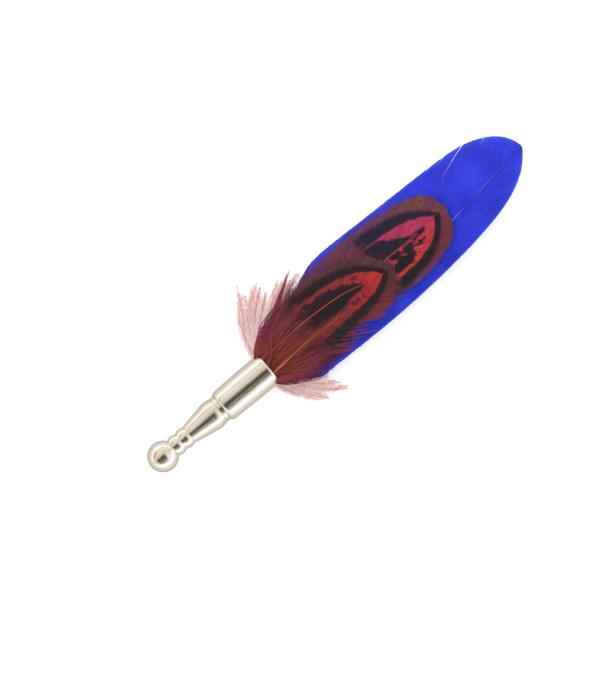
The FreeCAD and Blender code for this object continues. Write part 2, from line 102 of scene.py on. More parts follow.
class Cloud:
    """Smooth random values from 0 to 1 over a plane."""

    SIZE = 128

    def __init__(self, seed):
        self.grid = np.random.default_rng(seed).random((self.SIZE, self.SIZE))

    def __call__(self, x, y):
        column, row = np.floor(x), np.floor(y)
        across, up = step_up(0, 1, x - column), step_up(0, 1, y - row)
        i, j = column.astype(int) % self.SIZE, row.astype(int) % self.SIZE
        next_i, next_j = (i + 1) % self.SIZE, (j + 1) % self.SIZE
        near = self.grid[i, j] * (1 - across) + self.grid[next_i, j] * across
        far = self.grid[i, next_j] * (1 - across) + self.grid[next_i, next_j] * across
        return near * (1 - up) + far * up


# ---------------- strands


def tube_faces(index):
    """Walls and end caps of closed tubes, from their points' numbers (tubes, rings, sides)."""
    turned = np.roll(index, -1, axis=2)
    walls = np.stack([index[:, :-1], turned[:, :-1], turned[:, 1:], index[:, 1:]], axis=-1)
    return walls.reshape(-1, 4).tolist() + index[:, 0, ::-1].tolist() + index[:, -1].tolist()


class Strands:
    """Closed, tapered strands gathered into one mesh: a tint at each point and a shade for each strand."""

    def __init__(self):
        self.points, self.faces, self.tints, self.shades = [], [], [], []
        self.count = 0

    def add(self, paths, widths, heights, tints, section, shades, tilt=0.0):
        """Add strands: paths (n, k, 3), half widths and heights (n, k), tints (n, k, 3), shades (n)."""
        rows, length, _ = paths.shape
        tangent = unit(np.gradient(paths, axis=1))
        side = unit(np.cross((0.0, 0.0, 1.0), tangent))
        up = np.cross(tangent, side)
        leaning = side * math.cos(tilt) + up * math.sin(tilt)
        up = up * math.cos(tilt) - side * math.sin(tilt)
        corners = [
            paths + leaning * (widths * across)[..., None] + up * (heights * rise)[..., None]
            for across, rise in section
        ]
        sides = len(section)
        self.points.append(np.stack(corners, axis=2).reshape(-1, 3))
        self.faces += tube_faces(self.count + np.arange(rows * length * sides).reshape(rows, length, sides))
        self.tints.append(np.repeat(tints.reshape(-1, 3), sides, axis=0))
        self.shades.append(np.repeat(shades, length * sides))
        self.count += rows * length * sides

    def build(self, name, material):
        """The gathered strands as one object."""
        piece = mesh_object(name, np.concatenate(self.points), self.faces, material)
        tints = np.concatenate(self.tints)
        store(piece, "tint", "FLOAT_COLOR", "color", np.hstack([tints, np.ones((len(tints), 1))]))
        store(piece, "shade", "FLOAT", "value", np.concatenate(self.shades))
        return piece


def placed(name, data):
    """A new object in the scene."""
    item = bpy.data.objects.new(name, data)
    bpy.context.scene.collection.objects.link(item)
    return item


def mesh_object(name, points, faces, material):
    """A smooth-shaded mesh object from points in millimetres."""
    mesh = bpy.data.meshes.new(name)
    mesh.from_pydata((np.asarray(points) * MM).tolist(), [], faces)
    mesh.polygons.foreach_set("use_smooth", np.ones(len(mesh.polygons), bool))
    mesh.materials.append(material)
    mesh.update()
    return placed(name, mesh)


def store(piece, name, kind, field, values):
    """Keep one value for each point of the piece's mesh, for its material."""
    attribute = piece.data.attributes.new(name, kind, "POINT")
    attribute.data.foreach_set(field, np.asarray(values, np.float32).ravel())


def install(piece, node):
    """The piece stands for a CAD node of the feather bundle and moves with the barrel."""
    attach(piece, FEATHER_BODY)
    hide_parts(node)


def along_strand(length):
    """Shares 0 to 1 of the way along a strand, as a row for broadcasting."""
    return np.linspace(0, 1, length)[None, :]


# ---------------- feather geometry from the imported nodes


def node_points(node):
    """A node's mesh points in millimetres."""
    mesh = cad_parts[node].data
    points = np.empty(len(mesh.vertices) * 3)
    mesh.vertices.foreach_get("co", points)
    return points.reshape(-1, 3) / MM


class Shaft:
    """A feather's centre line and radius, read from the rings of points on its CAD shaft."""

    def __init__(self, node):
        points = node_points(node)
        stations = np.unique(np.round(points[:, 0], 2))
        rings = [points[np.abs(points[:, 0] - station) < 0.02] for station in stations]
        rings = [ring for ring in rings if len(ring) >= 12]
        low = np.array([ring.min(axis=0) for ring in rings])
        high = np.array([ring.max(axis=0) for ring in rings])
        middle, radius = (low + high) / 2, (high - low)[:, 1] / 2
        outer = np.ones(len(rings), bool)
        outer[1:-1] = radius[1:-1] >= 0.9 * np.minimum(radius[:-2], radius[2:])
        self.stations, self.radii = middle[outer, 0], radius[outer]
        self.ys, self.zs = middle[outer, 1], middle[outer, 2]
        self.start, self.tip = self.stations[0], self.stations[-1]

    def curve(self, x, values):
        """A station value at x, as a smooth curve through the stations."""
        slopes = np.gradient(values, self.stations)
        x = np.clip(x, self.start, self.tip)
        cell = np.clip(np.searchsorted(self.stations, x) - 1, 0, len(self.stations) - 2)
        width = self.stations[cell + 1] - self.stations[cell]
        t = (x - self.stations[cell]) / width
        rise = values[cell] * (1 + 2 * t) * (1 - t) ** 2 + values[cell + 1] * t * t * (3 - 2 * t)
        return rise + width * (slopes[cell] * t * (1 - t) ** 2 + slopes[cell + 1] * t * t * (t - 1))

    def y(self, x):
        return self.curve(x, self.ys)

    def z(self, x):
        return self.curve(x, self.zs)

    def radius(self, x):
        return np.interp(x, self.stations, self.radii)

    def heading(self, x):
        """The centre line's angle to the pen at x."""
        return np.arctan2(self.y(x + 0.5) - self.y(x - 0.5), 1.0)


class Vane:
    """One CAD vane: how far it reaches across at each place along the pen, and the height of its surface."""

    FOOT = 7.0  # length over which the vane is taken to keep its width, at its base
    COLUMNS = 140  # places along the pen where the edge is looked for
    RAYS = 90  # coarse steps across, from outside inwards
    HALVINGS = 7  # of the last coarse step

    def __init__(self, node, shaft, side):
        self.node, self.shaft, self.side = node, shaft, side
        points = node_points(node)
        faces = [tuple(face.vertices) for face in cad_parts[node].data.polygons]
        self.tree = BVHTree.FromPolygons(points.tolist(), faces)
        low, high = points.min(axis=0), points.max(axis=0)
        self.start, self.tip = low[0], high[0]
        self.extreme = high[1] if side > 0 else low[1]
        self.scale = np.array((self.tip, abs(self.extreme) + 1))
        self.fit = np.linalg.lstsq(self.terms(points[:, 0], points[:, 1]), points[:, 2], rcond=None)[0]
        self.columns = np.linspace(self.start + 0.05, self.tip - 0.03, self.COLUMNS)
        self.edges = np.array([self.find_edge(x) for x in self.columns])

    def terms(self, x, y):
        """The terms of the surface's polynomial."""
        u, v = x / self.scale[0], y / self.scale[1]
        return np.stack([np.ones_like(u), u, u * u, v, v * v, v**4], axis=-1)

    def inside(self, x, y):
        """Whether the vane covers a place."""
        return self.tree.ray_cast(Vector((x, y, 100)), Vector((0, 0, -1)))[0] is not None

    def find_edge(self, x):
        """The farthest place across that the vane covers at x."""
        centre = float(self.shaft.y(np.array(x)))
        places = np.linspace(self.extreme + 0.2 * self.side, centre, self.RAYS)
        for outer, inner in zip(places, places[1:]):
            if self.inside(x, inner):
                for _ in range(self.HALVINGS):
                    middle = (outer + inner) / 2
                    outer, inner = (outer, middle) if self.inside(x, middle) else (middle, inner)
                return inner
        return centre

    def edge(self, x):
        """How far across the vane reaches at x; behind its first few millimetres it keeps its width."""
        return np.interp(np.maximum(x, self.start + self.FOOT), self.columns, self.edges)

    def z(self, x, y):
        return self.terms(x, y) @ self.fit


# How far barbs run, as a share of the way from the shaft to the vane's rim.
RIM_OVERSHOOT = 1.01


@dataclass
class Growth:
    """How a vane's barbs grow.

    Barbs leave the shaft at root_angle and bend to edge_angle. Those towards the base stand out by up to
    splay more, which eases off until splay_end. Angles are in degrees.
    """

    pitch: float  # spacing along the shaft
    first: float  # place of the first barb
    root_angle: float
    edge_angle: float
    points: int  # along one barb
    ragged: float  # share of its length that a barb may lack
    uneven: float  # how much neighbours differ in direction
    loose: float = 0.0  # adds to ragged behind loose_x
    loose_x: float = 0.0
    splay: float = 0.0
    splay_end: float = 6.0

    def roots(self, tip):
        """Where along the pen the barbs leave the shaft."""
        return np.arange(self.first, tip - 0.25, self.pitch)

    def spread(self, roots):
        """How much farther each barb stands out than those near the tip."""
        return math.radians(self.splay) * step_up(self.splay_end, self.first, roots)

    def lengths(self, roots, rng, cloud):
        """What share of its way to the rim each barb reaches."""
        ragged = self.ragged + self.loose * step_up(self.loose_x + 6, self.loose_x - 6, roots)
        return RIM_OVERSHOOT - ragged * (0.5 * rng.random(len(roots)) + 0.5 * cloud(roots / 0.9, roots * 0))


# Barbs are traced in steps of this length, and no barb needs more steps than the limit.
STRIDE = 0.2
STEP_LIMIT = 260


def barb_tracks(vane, growth, roots, angle_jitter):
    """Plan-view tracks (steps, n, 2) from the shaft to the vane's edge, and the step where each one ends."""
    shaft, side = vane.shaft, vane.side
    root_angle, edge_angle = math.radians(growth.root_angle), math.radians(growth.edge_angle)
    x, y = roots.copy(), shaft.y(roots)
    heading = shaft.heading(roots)
    spread = growth.spread(roots)
    track = []
    ends = np.zeros(len(roots))
    moving = np.ones(len(roots), bool)
    for _ in range(STEP_LIMIT):
        centre = shaft.y(x)
        span = (vane.edge(x) - centre) * side
        share = np.clip((y - centre) * side / np.maximum(span, 0.05), 0, RIM_OVERSHOOT)
        angle = root_angle + (edge_angle - root_angle) * share**0.8
        angle += spread * (1 - 0.6 * share)
        track.append(np.stack([x, y], axis=-1))
        moving &= (share < RIM_OVERSHOOT) & (x < vane.tip + 0.3)
        ends += moving
        direction = heading + side * angle * angle_jitter
        x = x + np.where(moving, STRIDE * np.cos(direction), 0)
        y = y + np.where(moving, STRIDE * np.sin(direction), 0)
    return np.array(track), np.maximum(ends, 2)


def resampled(track, places):
    """A track (steps, n, 2) read at fractional steps places (n, k), giving (n, k, 2)."""
    low = np.clip(np.floor(places).astype(int), 0, len(track) - 2)
    column = np.arange(len(places))[:, None]
    return blended(track[low, column], track[low + 1, column], places - low)


def neighbour_gap(plan):
    """Distance across from each barb to the next ones, at every point of plan (n, k, 2)."""
    along, beside = unit(np.gradient(plan, axis=1)), np.gradient(plan, axis=0)
    return np.abs(beside[..., 0] * along[..., 1] - beside[..., 1] * along[..., 0])


def opened_slits(plan, roots, side, share, slits):
    """Barbs pushed apart where the vane has split.

    A slit is its place along the rim, its gap, and the share of the way to the rim where it starts.
    """
    for rim_x, gap, start in slits:
        place = roots[np.argmin(np.abs(plan[:, -1, 0] - rim_x))]
        offset = roots - place
        push = gap * np.exp(-np.abs(offset) / 1.6) * np.where(offset > 0, 1.0, -0.3)
        shift = push[:, None] * step_up(start, 1, share) ** 1.3
        plan = plan + np.stack([shift * 0.9, -side * shift * 0.35], axis=-1)
    return plan


# A barb's width as a share of the gap to the next one, and what is added to half of it.
BARB_OVERLAP = 1.35
BARB_EXTRA = 0.02
# Height and length of the waves in a vane's surface, and how far single barbs lift at the rim.
RIPPLE_HEIGHT = 0.35
RIPPLE_LENGTH = 9
BARB_LIFT = 0.03
# How far a barb is turned about its own length, in radians.
BARB_TILT = 0.12


def grow_vane(name, vane, growth, painter, material, seed, slits=(), extra=None, thinning=None):
    """One vane as a row of barbs that overlap like shingles; extra adds loose barbs to the same piece."""
    rng = np.random.default_rng(seed)
    roots = growth.roots(vane.tip)
    number = len(roots)
    clumps = Cloud(seed + 1)(roots / 1.7, np.zeros(number)) - 0.5
    jitter = 1 + growth.uneven * (rng.normal(0, 0.01, number) + clumps * 0.06)
    track, ends = barb_tracks(vane, growth, roots, jitter)
    lengths = growth.lengths(roots, rng, Cloud(seed + 2))
    share = along_strand(growth.points)
    plan = resampled(track, share * (ends * lengths / RIM_OVERSHOOT)[:, None])
    gaps = np.clip(neighbour_gap(plan), 0.05, 0.8)
    plan = opened_slits(plan, roots, vane.side, share, slits)
    x, y = plan[..., 0], plan[..., 1]
    ripple = Cloud(seed + 3)(x / RIPPLE_LENGTH, y / RIPPLE_LENGTH) - 0.5
    height = vane.z(x, y) + RIPPLE_HEIGHT * ripple
    height = height + BARB_LIFT * rng.normal(0, 1, (number, 1)) * share
    paths = np.concatenate([plan, height[..., None]], axis=-1)
    widths = 0.5 * gaps * BARB_OVERLAP + BARB_EXTRA
    widths = widths * (1 - 0.6 * step_up(0.95, 1.0, share))
    if thinning is not None:
        widths = widths * thinning(vane, x, y, share)
    heights = np.clip(widths * 0.5, 0.02, 0.08)
    own = rng.random((number, 1)) - 0.5
    tints = painter(vane, x, y, share, own)
    shades = 0.6 * rng.random(number) + 0.4 * (clumps + 0.5)
    strands = Strands()
    strands.add(paths, widths, heights, tints, BARB_SECTION, shades, BARB_TILT * vane.side)
    if extra is not None:
        extra(strands, vane)
    return strands.build(name, material)


# ---------------- shafts

SHAFT_SIDES = 16
SHAFT_RINGS = 90


def shaft_rings(line, slimness, slim_from):
    """Rings (x, y, z, r) down a shaft, slimmer than in CAD beyond slim_from and a hair at the tip."""
    x = np.linspace(line.start, line.tip, SHAFT_RINGS)
    slim = 1 - (1 - slimness) * step_up(slim_from, slim_from + 6, x)
    slim = slim * (1 - 0.55 * step_up(0.6, 0.95, (x - line.start) / (line.tip - line.start)))
    return list(zip(x, line.y(x), line.z(x), line.radius(x) * slim))


def shaft_piece(name, rings, material):
    """A shaft as a closed tube through its rings; rings may double back to line a bore."""
    around = np.arange(SHAFT_SIDES) * math.tau / SHAFT_SIDES
    flat = np.where(np.sin(around) > 0, 0.85, 1.0)
    points = []
    for x, y, z, radius in rings:
        points += [(x, y + radius * math.cos(a), z + radius * f * math.sin(a)) for a, f in zip(around, flat)]
    faces = tube_faces(np.arange(len(points)).reshape(1, -1, SHAFT_SIDES))
    return mesh_object(name, points, faces, material)


def quill_bore_rings(node, line):
    """Rings that line the hollow of a quill, from its bottom back out to the cut end."""
    points = node_points(node)
    inner = points[np.hypot(points[:, 1] - line.ys[0], points[:, 2]) < line.radii[0] * 0.85]
    bore = inner[inner[:, 0] < line.start + 15]
    radius = np.abs(bore[:, 1] - line.ys[0]).max()
    return [(x, line.ys[0], 0.0, radius) for x in (bore[:, 0].max(), line.start)]


# ---------------- feather markings

NAVY_BLACK = colour(34, 27, 50)
BROWN_BLACK = colour(38, 24, 29)


def inside_arch(back, across, left, right):
    """Distance inside a marking that opens from an apex and levels off.

    Either side is its apex's distance from the tip, its reach, and the distance over which it opens.
    """
    start, reach, rate = [np.where(across > 0, *pair) for pair in zip(left, right)]
    return reach * (1 - np.exp(-(back - start) / rate)) - np.abs(across)


def paint_blue(vane, x, y, share, own):
    """Bright blue, a little paler where the vane thins out along its rim, with painted shade beside the shaft.
    """
    cloud = Cloud(11)
    tone = blended(colour(36, 48, 200), colour(52, 68, 228), cloud(x / 6, y / 5) + own * 0.3)
    rim = step_up(0.9, 1.0, share) * 0.45 + 0.3 * step_up(70, 92, x) * step_up(0.7, 1, share)
    tone = blended(tone, colour(84, 102, 244), rim)
    # Painted shade: a darker blue beside the shaft, strongest on its right side, where its shadow falls.
    painted_shaft_shade = np.exp(-np.abs(y - vane.shaft.y(x)) / 0.5) * (0.5 if vane.side < 0 else 0.15)
    return blended(tone, colour(20, 26, 130), painted_shaft_shade)


# The long feather's dark patches right of its shaft: distance back, distance across, half length, half width.
LONG_PATCHES = (
    (17.4, -3.8, 4.3, 1.6),
    (18.8, -1.0, 1.9, 0.75),
    (14.6, -1.8, 2.3, 1.0),
    (10.4, -0.7, 2.6, 0.55),
    (11.9, -2.7, 1.3, 0.5),
    (23.4, -2.8, 2.6, 1.6),
)


def paint_long(vane, x, y, share, own):
    """Plum rim, dark arch, pink and red arch, and a dark, mottled centre."""
    cloud, fine = Cloud(21), Cloud(22)
    back, across = vane.tip - x, y - vane.shaft.y(x)
    wobble = (cloud(x / 1.1, y / 1.1) - 0.5) * 0.9 + own * 0.3
    rim = blended(colour(104, 52, 74), colour(112, 58, 60), cloud(x / 4 + 9, y / 3))
    rim = blended(rim, colour(114, 42, 60), step_up(-1, -5, across) * 0.8)
    olive = step_up(0.55, 0.8, fine(x / 0.5, y / 0.35)) * step_up(3, 6, across) * step_up(11, 4, back)
    tone = blended(rim, colour(128, 104, 66), olive * 0.45)
    purple = step_up(8, 18, back) * step_up(5, 9, np.abs(across)) * (0.6 + own)
    tone = blended(tone, colour(106, 54, 106), np.clip(purple, 0, 1))
    dark = inside_arch(back, across, (2.6, 9.4, 7.0), (2.0, 9.2, 5.5)) + wobble * 0.6
    black = blended(BROWN_BLACK, NAVY_BLACK, step_up(-3, 2, across))
    tone = blended(tone, black, step_up(-1.1, 0.4, dark))
    pink = inside_arch(back, across, (3.7, 6.0, 6.8), (3.8, 6.2, 3.7)) + wobble * 0.35
    bright = blended(colour(188, 54, 62), colour(172, 48, 86), step_up(-4, 1.5, across))
    bright = bright * (0.8 + 0.35 * cloud(x / 1.4 + 3, y / 0.9))[..., None]
    tone = blended(tone, bright, step_up(-0.25, 0.25, pink))
    lobe = 0.15 * (back - 8) + 0.5 * np.maximum(back - 13, 0) - across + wobble * 0.7
    lobe = np.where(across > -0.2, lobe, -1)
    patch = np.full_like(x, -9.0)
    for middle, offset, half_length, half_width in LONG_PATCHES:
        ring = 1 - np.hypot((back - middle) / half_length, (across - offset) / half_width)
        patch = np.maximum(patch, ring * half_width + wobble * 0.8)
    flecks = step_up(0.66, 0.8, fine(x / 0.9, y / 0.4)) * step_up(7, 9, back) * step_up(0.7, 1.5, pink)
    marks = np.maximum(step_up(-0.2, 0.3, lobe), step_up(-0.2, 0.25, patch))
    marks = np.maximum(marks, flecks * (across < 0))
    tone = blended(tone, black, marks * step_up(0, 0.5, pink))
    base = step_up(20.5, 25.5, back + wobble * 3 - 2 * step_up(1, 5, across))
    fringe = np.clip(step_up(4, 10, np.abs(across)) * 0.5 + own, 0, 1)
    return blended(tone, blended(colour(112, 48, 52), colour(108, 54, 92), fringe), base)


def paint_short(vane, x, y, share, own):
    """Brown-plum rim, painted sheen, dark arch, red arch with dashes, dark heart, and a fluffy brown-red base.
    """
    cloud, fine = Cloud(31), Cloud(32)
    back, across = vane.tip - x, y - vane.shaft.y(x)
    wobble = (cloud(x / 1.0, y / 1.0) - 0.5) * 0.8 + own * 0.35
    # Near the tip the rim turns greyer and greener on the shaft's left: a painted sheen.
    rim = blended(colour(84, 42, 46), colour(92, 62, 58), step_up(0, 7, across) * step_up(9, 2, back))
    rim = blended(rim, colour(116, 38, 50), step_up(-2, -6, across))
    rim = blended(rim, colour(104, 54, 74), step_up(10, 20, back) * step_up(6, 9, across))
    dark = inside_arch(back, across, (2.2, 6.4, 3.6), (2.2, 10.4, 9.0)) + wobble * 0.6
    tone = blended(rim, BROWN_BLACK, step_up(-0.9, 0.4, dark))
    red = inside_arch(back, across, (3.6, 4.2, 2.9), (3.6, 7.4, 8.5)) + wobble * 0.4
    bright = blended(colour(178, 44, 42), colour(146, 40, 48), step_up(5, 16, back + across * 0.5))
    bright = bright * (0.82 + 0.3 * cloud(x / 1.3 + 3, y / 0.8))[..., None]
    tone = blended(tone, bright, step_up(-0.25, 0.25, red))
    heart = inside_arch(back, across, (8.2, 3.4, 6.0), (8.3, 5.2, 9.5)) + wobble * 0.9
    tone = blended(tone, BROWN_BLACK, step_up(-0.3, 0.3, heart))
    along_band = red - np.where(across > 0, 1.3, 1.7)
    dashes = step_up(0.5, 0.68, fine(x / 0.9, y / 0.5)) * np.exp(-(along_band**2) / 0.5)
    dashes = dashes * step_up(8, 10, back)
    tone = blended(tone, BROWN_BLACK, dashes * (red > 0.2) * 0.9)
    base = step_up(24, 31, back + wobble * 4)
    earth = blended(colour(122, 46, 42), colour(62, 30, 40), cloud(x / 2.3 + 5, y / 0.9) + own * 0.5)
    earth = blended(earth, colour(124, 44, 66), step_up(-5, -9, across) * 0.8)
    return blended(tone, earth, base)


def paint_orange(vane, x, y, share, own):
    """Rusty orange, brighter along the shaft."""
    tone = blended(colour(150, 62, 34), colour(112, 40, 40), share + 0 * x)
    return blended(tone, colour(190, 88, 50), Cloud(41)(x / 2, y / 0.5) ** 3 + own * 0.2)


def paint_plum(vane, x, y, share, own):
    """Plum with a wine-red root."""
    return blended(colour(138, 44, 54), colour(112, 46, 82), share + own * 0.3)


# ---------------- loose barbs and down


def loose_strands(rng, roots, headings, lengths, turns, lifts, points, waver):
    """Paths that leave their roots at the given headings, then turn, with a slight waver."""
    count = len(roots)
    share = along_strand(points)
    phase, rate = rng.random((count, 1)) * math.tau, 2 + 3 * rng.random((count, 1))
    angle = headings[:, None] + turns[:, None] * step_up(0.1, 0.95, share)
    angle = angle + waver * np.sin(phase + rate * share * math.pi)
    stride = (lengths / (points - 1))[:, None]
    steps = np.stack([np.cos(angle), np.sin(angle)], axis=-1) * stride[..., None]
    plan = roots[:, None, :2] + np.cumsum(steps, axis=1) - steps[:, :1]
    height = roots[:, None, 2:] + lifts[:, None, None] * share[..., None]
    return np.concatenate([plan, height], axis=-1)


def tapered(points, count, half_width, rng):
    """Half widths that swell a little after the root and run out to a fine tip."""
    share = along_strand(points)
    profile = (0.55 + 0.45 * np.sin(share * math.pi)) * (1 - 0.9 * step_up(0.55, 1.0, share))
    return half_width * profile * (0.7 + 0.6 * rng.random((count, 1)))


# How far inside the barrel's mouth the first loose barbs start.
FLUFF_DEPTH = 2
FLUFF_POINTS = 10
# The outermost loose barb's angle and the share of it that it loses on its way, left and right.
FLUFF_FAN = {1: (52, 0.85), -1: (38, 0.5)}


def base_fluff(strands, vane, seed, count, level, palette, reach, width=0.11):
    """Loose barbs that spread from the barrel's mouth over the foot of the bundle.

    palette runs from the middle outwards, as pairs of a root and a tip colour. reach is how much farther on
    the last barbs start, and how long they are.
    """
    side = vane.side
    fan, lost = FLUFF_FAN[side]
    rng = np.random.default_rng(seed + side)
    place = rng.random(count) ** 0.8
    from_start = rng.random(count) ** 1.4 * reach[0]
    spread = 1 - np.exp(-from_start / 6)
    root_y = side * place * (MOUTH_RADIUS - 0.7 + 1.5 * spread)
    root_z = level - root_y**2 / 40 - 0.7 + 0.5 * rng.random(count)
    roots = np.stack([MOUTH_X - FLUFF_DEPTH + from_start, root_y, root_z], axis=-1)
    fall_off = np.exp(-from_start / 22)
    headings = side * np.radians(fan * place**0.8 * fall_off + rng.normal(0, 3, count))
    turns = -headings * (lost + 0.25 * rng.random(count))
    lengths = reach[1] * (0.4 + 0.3 * rng.random(count) + 0.4 * place)
    paths = loose_strands(rng, roots, headings, lengths, turns, np.zeros(count), FLUFF_POINTS, 0.09)
    share = along_strand(FLUFF_POINTS)
    out = paths[..., 1]
    paths[..., 2] -= (out**2 - out[:, :1] ** 2) / 90 + 0.3 * share
    beside_shaft = np.exp(-(((out - vane.shaft.y(paths[..., 0])) / 0.5) ** 2))
    too_high = np.maximum(paths[..., 2] - vane.shaft.z(paths[..., 0]) + 0.1, 0)
    paths[..., 2] -= too_high * beside_shaft
    widths = tapered(FLUFF_POINTS, count, width, rng)
    last = len(palette) - 1
    entry = np.clip(np.round(place * last + rng.normal(0, 0.9, count)), 0, last).astype(int)
    ends = np.array([[colour(*tone) for tone in pair] for pair in palette])[entry]
    tints = ends[:, :1] + (ends[:, 1:] - ends[:, :1]) * share[..., None]
    strands.add(paths, widths, widths * 0.6, tints, HAIR_SECTION, rng.random(count))


LOCK_POINTS = 14
LOCK_BOW = 0.1  # how far a lock's middle bends to its left


def lock(strands, seed, count, root, tip, swell, tone):
    """A pointed lock of hair-thin barbs that run together to its tip; swell is its width at the root."""
    rng = np.random.default_rng(seed)
    share = along_strand(LOCK_POINTS)
    start, chord = np.array(root), np.array(tip) - np.array(root)
    across = np.array((-chord[1], chord[0], 0.0)) / np.linalg.norm(chord)
    length = (0.6 + 0.4 * rng.random((count, 1)) ** 0.6) * share
    own = rng.normal(0, 0.5, (count, 1)) * swell * (1 - length) ** 0.7
    offset = LOCK_BOW * np.sin(length * math.pi) + own
    paths = start + chord * length[..., None] + across * offset[..., None]
    paths[..., 2] += 0.4 * rng.random((count, 1)) - paths[..., 1] ** 2 / 120 * share
    widths = tapered(LOCK_POINTS, count, 0.08, rng)
    tints = np.broadcast_to(colour(*tone), paths.shape)
    strands.add(paths, widths, widths * 0.6, tints, HAIR_SECTION, rng.random(count))


STEM_TINTS = (colour(196, 92, 80), colour(214, 136, 126))
BARBULE_TINTS = (colour(236, 202, 197), colour(251, 241, 238))
STEM_POINTS = 14
BARBULE_POINTS = 4
BARBULE_PITCH = 0.2
BARBULE_WIDTH = 0.1
BARBULE_ANGLE = 38
# How far the stem stands above its barbules.
STEM_RISE = 0.2


def plume(strands, rng, root, tip, bow, fluff):
    """One downy barb: a fine stem that bows from root to tip, with barbules in a V on both sides."""
    share = along_strand(STEM_POINTS)[0]
    chord = tip - root
    across = np.array((-chord[1], chord[0], 0.0))
    stem = root + chord * share[:, None] + across * (bow * np.sin(share * math.pi))[:, None]
    stem[:, 2] += 0.5 * np.sin(share * 4 + rng.random() * 6) * share
    raised = stem + np.array((0, 0, STEM_RISE))
    widths = (0.085 - 0.055 * share)[None]
    strands.add(raised[None], widths, widths, blended(*STEM_TINTS, share)[None], HAIR_SECTION, rng.random(1))
    count = int(np.linalg.norm(chord) / BARBULE_PITCH)
    along = along_strand(BARBULE_POINTS)
    for side in (-1, 1):
        place = np.sort(rng.random(count)) * 0.97 + 0.02
        roots = np.stack([np.interp(place, share, stem[:, axis]) for axis in range(3)], axis=-1)
        ahead = np.stack([np.interp(place + 0.03, share, stem[:, axis]) for axis in range(2)], axis=-1)
        direction = np.arctan2(ahead[:, 1] - roots[:, 1], ahead[:, 0] - roots[:, 0])
        direction = np.where(place > 0.96, math.atan2(chord[1], chord[0]), direction)
        headings = direction + side * np.radians(BARBULE_ANGLE + rng.normal(0, 7, count))
        reach = fluff * (0.55 + 0.45 * rng.random(count)) * np.minimum(1, 3.2 * (1.06 - place))
        bend, lift = -side * np.full(count, 0.3), 0.25 * rng.normal(0, 1, count)
        paths = loose_strands(rng, roots, headings, reach, bend, lift, BARBULE_POINTS, 0.12)
        hair = BARBULE_WIDTH * (1 - 0.75 * along**1.5) * np.ones((count, 1))
        tints = blended(*BARBULE_TINTS, 0.4 * rng.random(count)[:, None] + 0.6 * along)
        strands.add(paths, hair, hair * 0.4, tints, HAIR_SECTION, rng.random(count))


# How many plumes of down grow for each stated pair of an angle and a length, and how far barbules reach.
PLUMES_PER_REACH = 3
DOWN_FLUFF = 2.4


def down_piece(name, node, side, reaches, seed, material):
    """A tuft of down: plumes that fan out from the mouth; reaches pair an angle with a length."""
    rng = np.random.default_rng(seed)
    strands = Strands()
    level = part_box(node)[1].z / MM - 0.3
    degrees, lengths = np.array(reaches, float).T
    angles, entries = np.radians(degrees), np.arange(len(reaches))
    number = PLUMES_PER_REACH * len(reaches)
    for index in range(number):
        place = index / (number - 1) * (len(reaches) - 1)
        angle = np.interp(place, entries, angles) + rng.normal(0, 0.015)
        length = np.interp(place, entries, lengths) * (0.94 + 0.06 * rng.random())
        root = np.array((MOUTH_X - 0.6, side * (1.6 + 1.6 * rng.random()), level - 0.2 * rng.random()))
        tip = root + np.array((math.cos(angle), side * math.sin(angle), 0)) * length
        tip[2] -= (tip[1] ** 2) / 90 + 0.8 * rng.random()
        plume(strands, rng, root, tip, side * (0.03 + 0.05 * rng.random()), DOWN_FLUFF)
    install(strands.build(name, material), node)


# ---------------- materials


class Tree:
    """Short calls for building a node tree."""

    def __init__(self, tree):
        self.tree = tree

    def add(self, kind, **settings):
        """A node with its properties and its unlinked inputs set by name."""
        node = self.tree.nodes.new("ShaderNode" + kind)
        for key, value in settings.items():
            if hasattr(node, key):
                setattr(node, key, value)
            else:
                node.inputs[key.replace("_", " ")].default_value = value
        return node

    def link(self, source, target):
        self.tree.links.new(source, target)

    def feed(self, sources, targets):
        """Link every source that is a socket; any other one is its input's value."""
        for source, target in zip(sources, targets):
            if isinstance(source, bpy.types.NodeSocket):
                self.link(source, target)
            else:
                target.default_value = source

    def math(self, operation, *sources, clamp=False):
        node = self.add("Math", operation=operation, use_clamp=clamp)
        self.feed(sources, node.inputs)
        return node.outputs[0]

    def mix(self, share, first, second):
        """A mix of two colours; each is a socket or a colour."""
        node = self.add("Mix", data_type="RGBA")
        self.feed((share, first, second), (node.inputs[0], node.inputs[6], node.inputs[7]))
        return node.outputs[2]

    def mix_shaders(self, share, first, second):
        """A mix of the first outputs of two shader nodes."""
        node = self.add("MixShader")
        self.feed((share, first.outputs[0], second.outputs[0]), node.inputs)
        return node

    def is_glossy_ray(self):
        """1 for light that polished metal mirrors, and 0 for any other."""
        return self.add("LightPath").outputs["Is Glossy Ray"]

    def window(self, angle, low, high, soft_low, soft_high):
        """1 while an angle in radians is between low and high, with soft ends; these four are in degrees."""
        degree = 180 / math.pi
        rise = self.math("MULTIPLY_ADD", angle, degree / soft_low, 0.5 - low / soft_low, clamp=True)
        fall = self.math("MULTIPLY_ADD", angle, -degree / soft_high, 0.5 + high / soft_high, clamp=True)
        return self.math("MULTIPLY", rise, fall)


